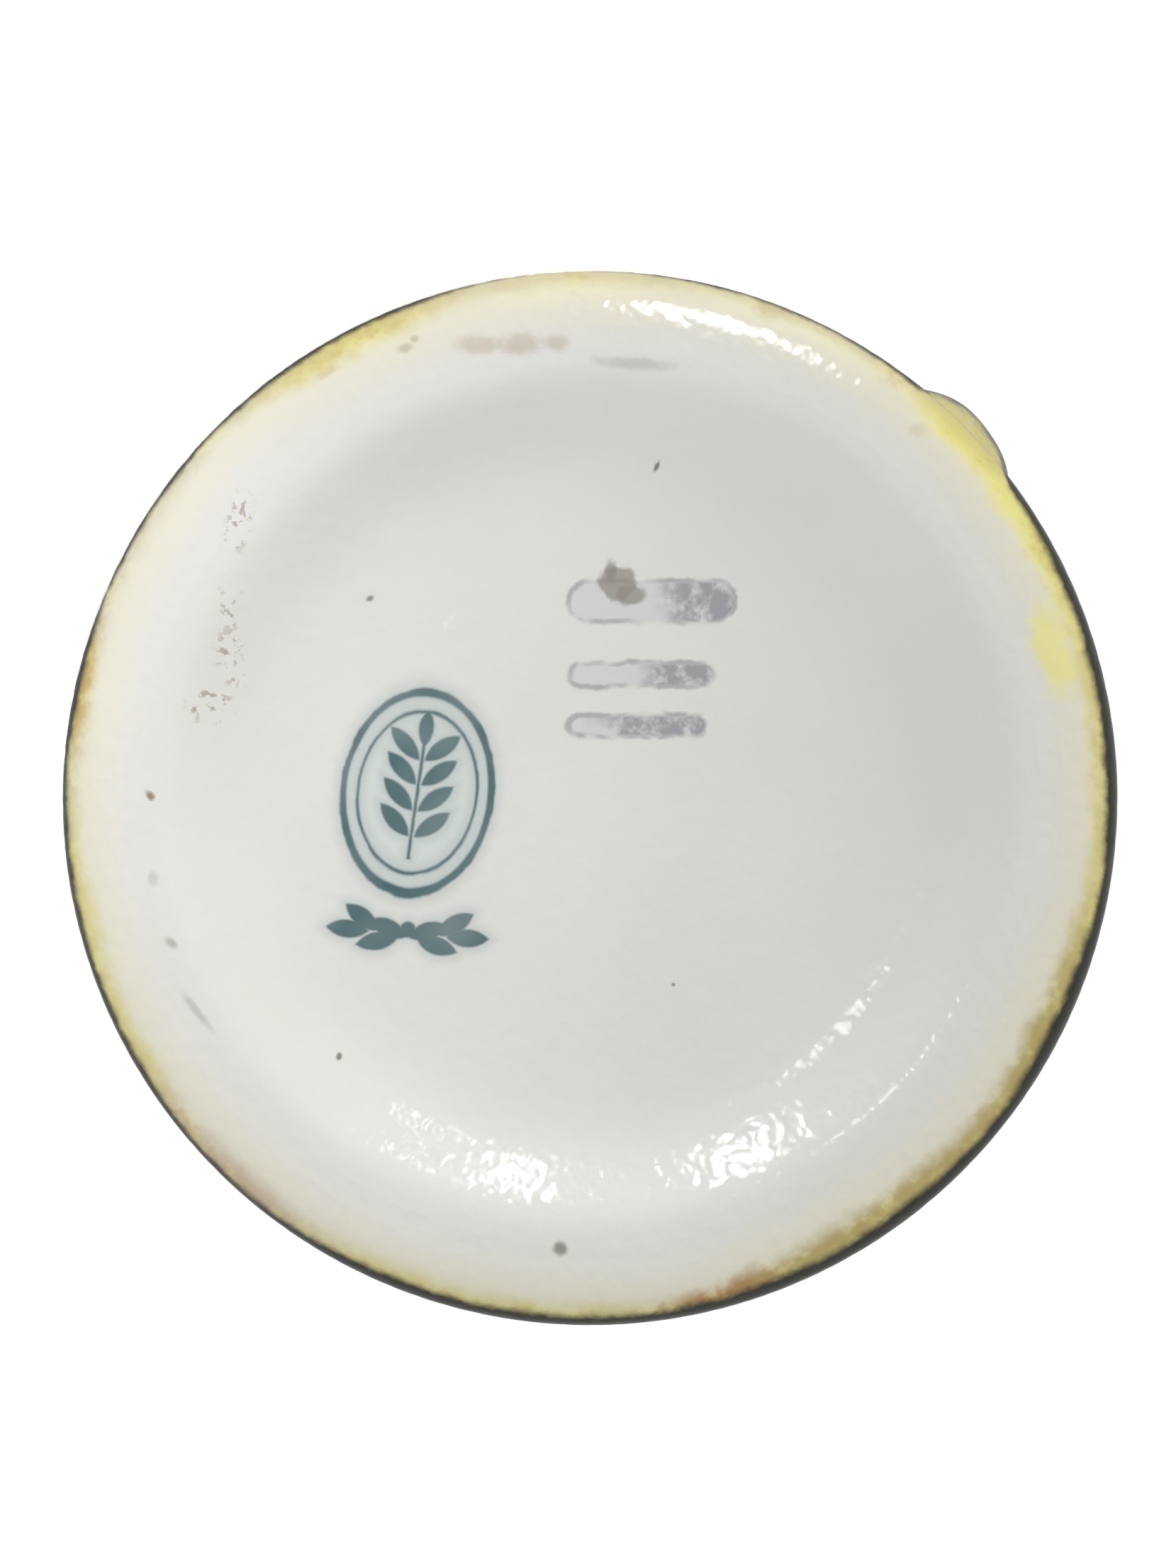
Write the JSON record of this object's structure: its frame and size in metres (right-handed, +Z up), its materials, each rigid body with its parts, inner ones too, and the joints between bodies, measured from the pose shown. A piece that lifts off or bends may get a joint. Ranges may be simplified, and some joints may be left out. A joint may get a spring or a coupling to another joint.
{
  "type": "shaving mug",
  "caption": "Waisted porcelain cup on a rolled foot, with an ear-shaped handle and a pierced soap drainer that lifts off a ledge inside.",
  "frame": {"origin": "centre of the ring that the mug rests on, at the height of the surface that it stands on", "axes": "+Z up out of the mouth, +X out through the handle, +Y across it"},
  "size_m": [0.1087, 0.084, 0.09],
  "materials": {
    "cup_glaze": "clear glossy glaze over white porcelain, with a lemon-yellow enamel band round the foot, a fine dark line at its edge and pale printed marks underneath",
    "ledge_glaze": "clear glossy glaze over white porcelain",
    "handle_glaze": "clear glossy glaze over white porcelain, shaded with yellow and olive enamel",
    "slip_glaze": "glazed slip with yellow and olive enamel pooled in it",
    "drainer_glaze": "clear glossy glaze over white porcelain, thin and rounded at the holes"
  },
  "bodies": {
    "mug": {"cup_body": "cup_glaze", "drainer_seat_ring": "ledge_glaze", "handle": "handle_glaze", "handle_upper_slip": "slip_glaze", "handle_lower_slip": "slip_glaze"},
    "drainer": {"soap_drainer": "drainer_glaze"}
  },
  "joints": [
    {"name": "drainer_lift", "type": "slide", "parent": "mug", "child": "drainer", "axis": [0, 0, 1], "range_m": [0, 0.06]}
  ]
}
